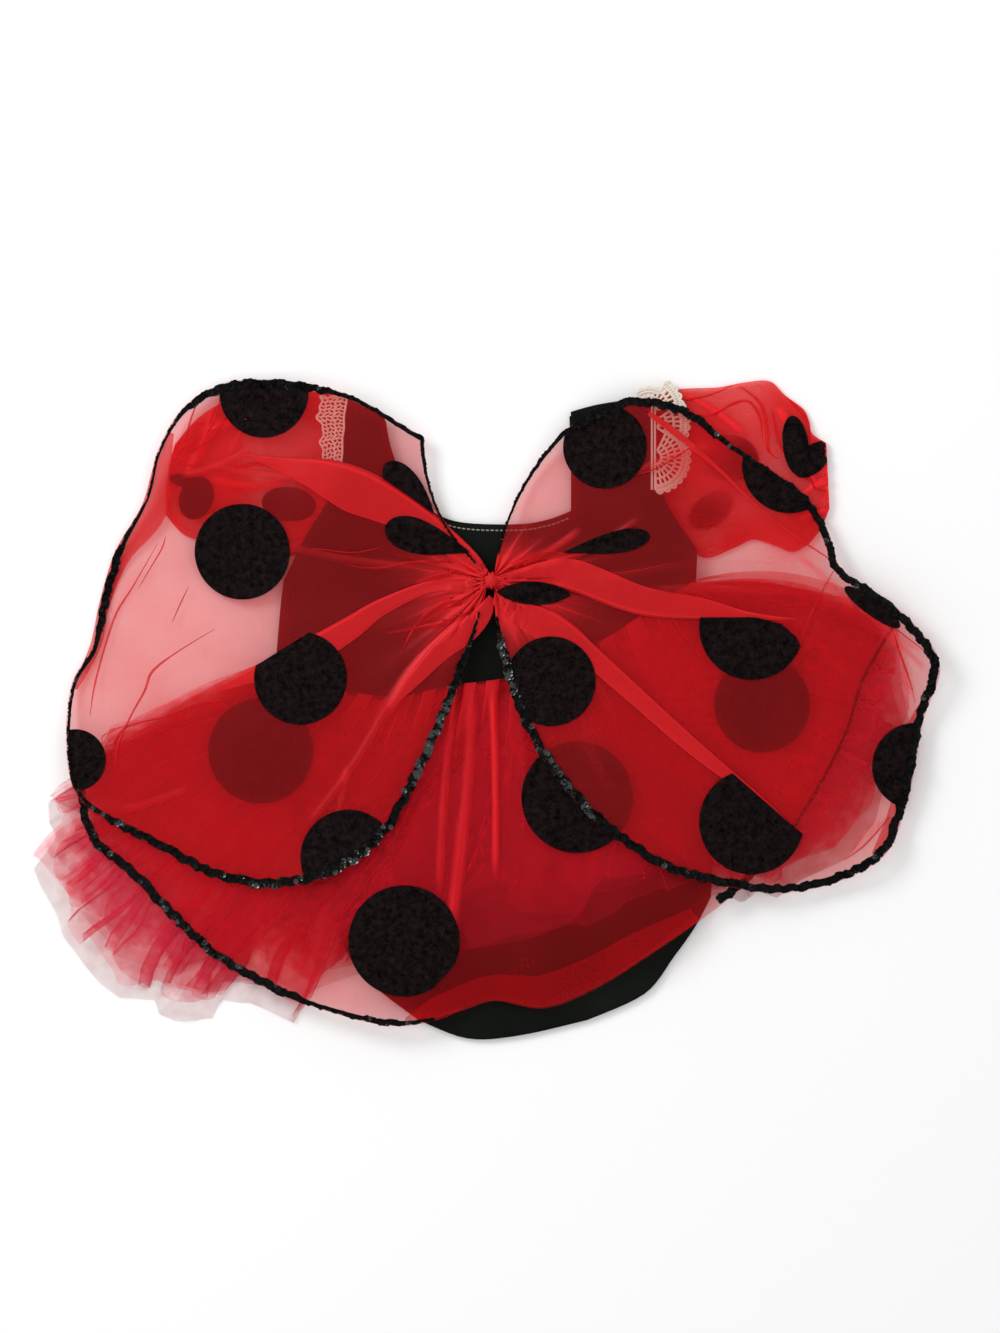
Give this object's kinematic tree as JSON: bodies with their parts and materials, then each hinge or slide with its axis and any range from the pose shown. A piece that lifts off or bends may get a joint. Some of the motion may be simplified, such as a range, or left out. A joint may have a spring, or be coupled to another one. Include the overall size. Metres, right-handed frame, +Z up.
{
  "type": "costume",
  "caption": "Child's ladybug costume laid flat with its back up: black leotard, sheer red puff sleeves, tulle tutu, spotted overskirt and a pair of spotted wings edged with sequins.",
  "frame": {"origin": "bottom centre of the bounding box, on the surface that the costume lies on", "axes": "+Y towards the neck, +X towards the wearer's right as seen from the back, +Z up out of the laid cloth"},
  "size_m": [0.5886, 0.429, 0.0224],
  "materials": {
    "wing_organza": "sheer, crisp, faint sheen",
    "skirt_organza": "sheer, crisp, faint sheen",
    "sleeve_organza": "sheer, crisp, faint sheen",
    "tulle": "matt net",
    "jersey": "matt stretch knit",
    "velvet": "crushed velvet flock",
    "sequins": "glossy sequins",
    "lace": "cotton crochet"
  },
  "bodies": {
    "root": {"lace_left": "lace", "lace_right": "lace", "leotard_back": "jersey", "leotard_front": "jersey", "overskirt": "skirt_organza", "overskirt_braid_left": "sequins", "overskirt_braid_right": "sequins", "overskirt_spot_1": "velvet", "overskirt_spot_2": "velvet", "overskirt_spot_3": "velvet", "overskirt_spot_4": "velvet", "sleeve_left": "sleeve_organza", "sleeve_left_spot_1": "velvet", "sleeve_left_spot_2": "velvet", "sleeve_right": "sleeve_organza", "sleeve_right_spot_1": "velvet", "sleeve_right_spot_2": "velvet", "tutu_back": "tulle", "tutu_front": "tulle", "wing_left": "wing_organza", "wing_left_braid": "sequins", "wing_left_spot_1": "velvet", "wing_left_spot_2": "velvet", "wing_left_spot_3": "velvet", "wing_left_spot_4": "velvet", "wing_left_spot_5": "velvet", "wing_left_spot_6": "velvet", "wing_left_spot_7": "velvet", "wing_right": "wing_organza", "wing_right_braid": "sequins", "wing_right_spot_1": "velvet", "wing_right_spot_2": "velvet", "wing_right_spot_3": "velvet", "wing_right_spot_4": "velvet", "wing_right_spot_5": "velvet", "wing_right_spot_6": "velvet", "wing_right_spot_7": "velvet", "wing_right_spot_8": "velvet", "wing_tack": "wing_organza"}
  },
  "joints": []
}
